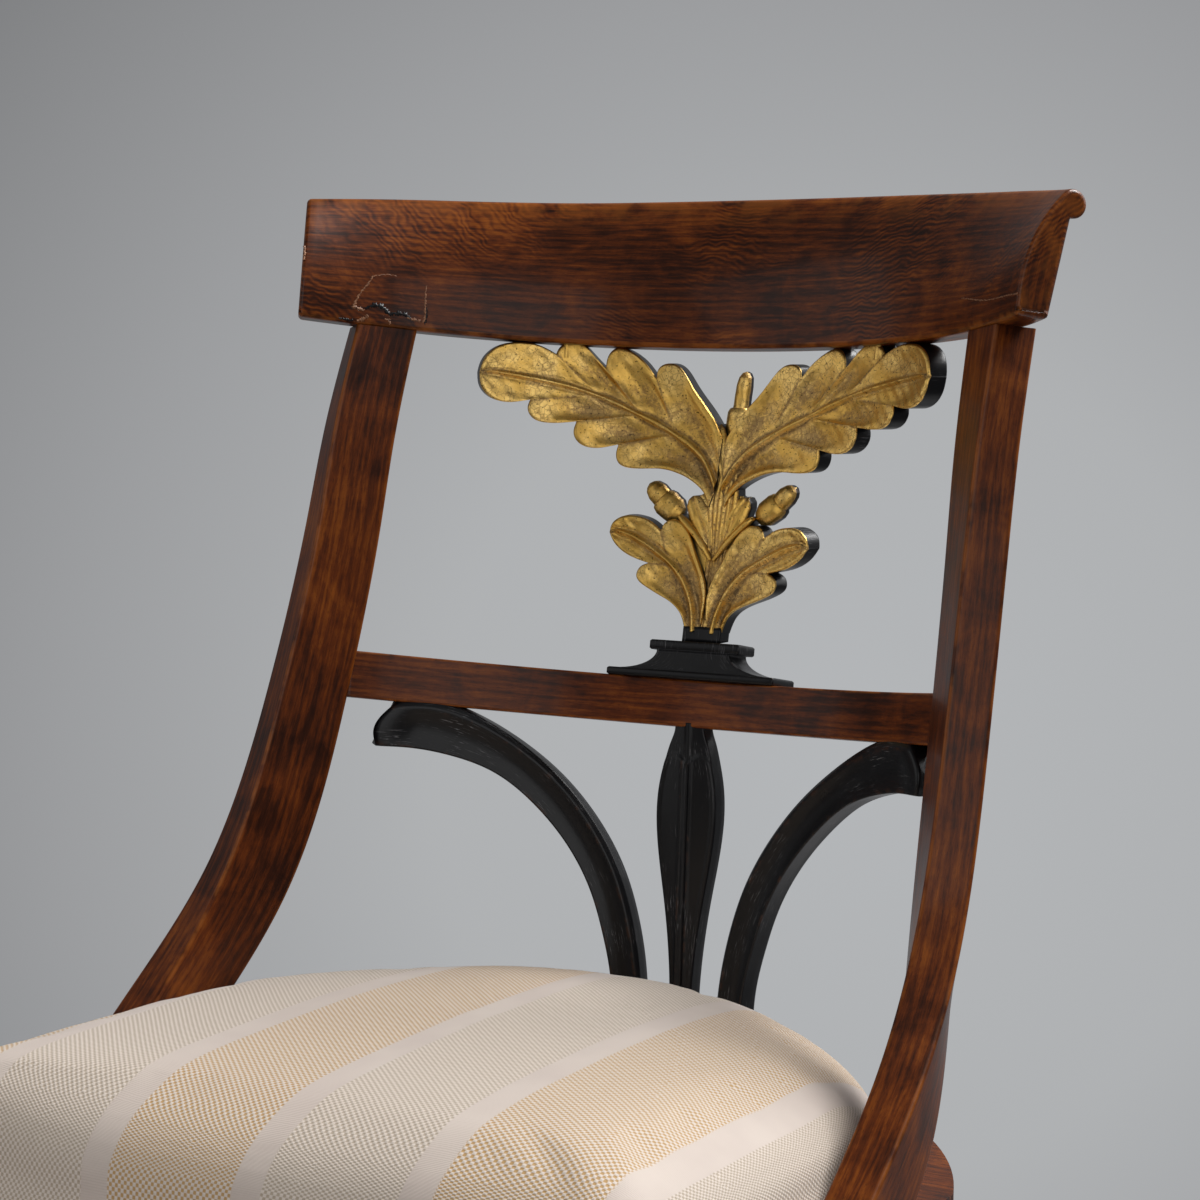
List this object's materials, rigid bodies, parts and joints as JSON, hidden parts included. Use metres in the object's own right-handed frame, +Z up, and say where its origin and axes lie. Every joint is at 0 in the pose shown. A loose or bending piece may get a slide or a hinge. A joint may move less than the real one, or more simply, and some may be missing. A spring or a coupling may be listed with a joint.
{
  "type": "side chair",
  "caption": "Wooden side chair with a curved gondola back, gilt oak-leaf carving, black splat, sabre legs and a striped loose seat.",
  "frame": {"origin": "on the floor, under the middle of the chair's box", "axes": "+Z up, -Y the front of the chair, +X to the right of someone facing its front"},
  "size_m": [0.4884, 0.5776, 0.9022],
  "materials": {
    "polished_wood": "shellac polish, glossy",
    "ebonised_wood": "black polish, scuffed",
    "gilt_wood": "gold leaf, rubbed",
    "plain_beech": "bare",
    "steel": "dull",
    "felt": "felt",
    "webbing": "jute",
    "stuffing": "horsehair and cotton",
    "striped_cloth": "woven stripe, satin",
    "dust_cloth": "black cotton"
  },
  "bodies": {
    "chair_frame": {"top_rail": "polished_wood", "left_stile": "polished_wood", "right_stile": "polished_wood", "middle_rail": "polished_wood", "rear_seat_rail": "polished_wood", "left_side_rail": "polished_wood", "right_side_rail": "polished_wood", "front_seat_rail": "polished_wood", "left_front_leg": "polished_wood", "right_front_leg": "polished_wood", "left_rear_leg": "polished_wood", "right_rear_leg": "polished_wood", "tenon_peg": "polished_wood", "plinth": "ebonised_wood", "left_splat_arm": "ebonised_wood", "right_splat_arm": "ebonised_wood", "lancet_leaf": "ebonised_wood", "oak_leaf_carving": "gilt_wood", "left_corner_block": "plain_beech", "right_corner_block": "plain_beech", "left_ledger": "plain_beech", "right_ledger": "plain_beech", "front_ledger": "plain_beech", "rear_ledger": "plain_beech", "middle_rail_dowels": "plain_beech", "stile_foot_dowels": "plain_beech", "plinth_pins": "plain_beech", "carving_pins": "plain_beech", "splat_pins": "plain_beech", "seat_frame_dowels": "plain_beech", "ledger_screws": "steel", "corner_block_screws": "steel", "felt_glides": "felt"},
    "loose_seat": {"seat_front_bar": "plain_beech", "seat_rear_bar": "plain_beech", "seat_left_bar": "plain_beech", "seat_right_bar": "plain_beech", "seat_bar_dowels": "plain_beech", "webbing_tacks": "steel", "cover_tacks": "steel", "webbing_lengthways": "webbing", "webbing_across": "webbing", "hessian": "webbing", "horsehair_pad": "stuffing", "wadding": "stuffing", "seat_cover": "striped_cloth", "dust_cloth": "dust_cloth"}
  },
  "joints": [
    {"name": "seat_lift", "type": "slide", "parent": "chair_frame", "child": "loose_seat", "axis": [0, 0, 1], "range_m": [0, 0.15]}
  ]
}
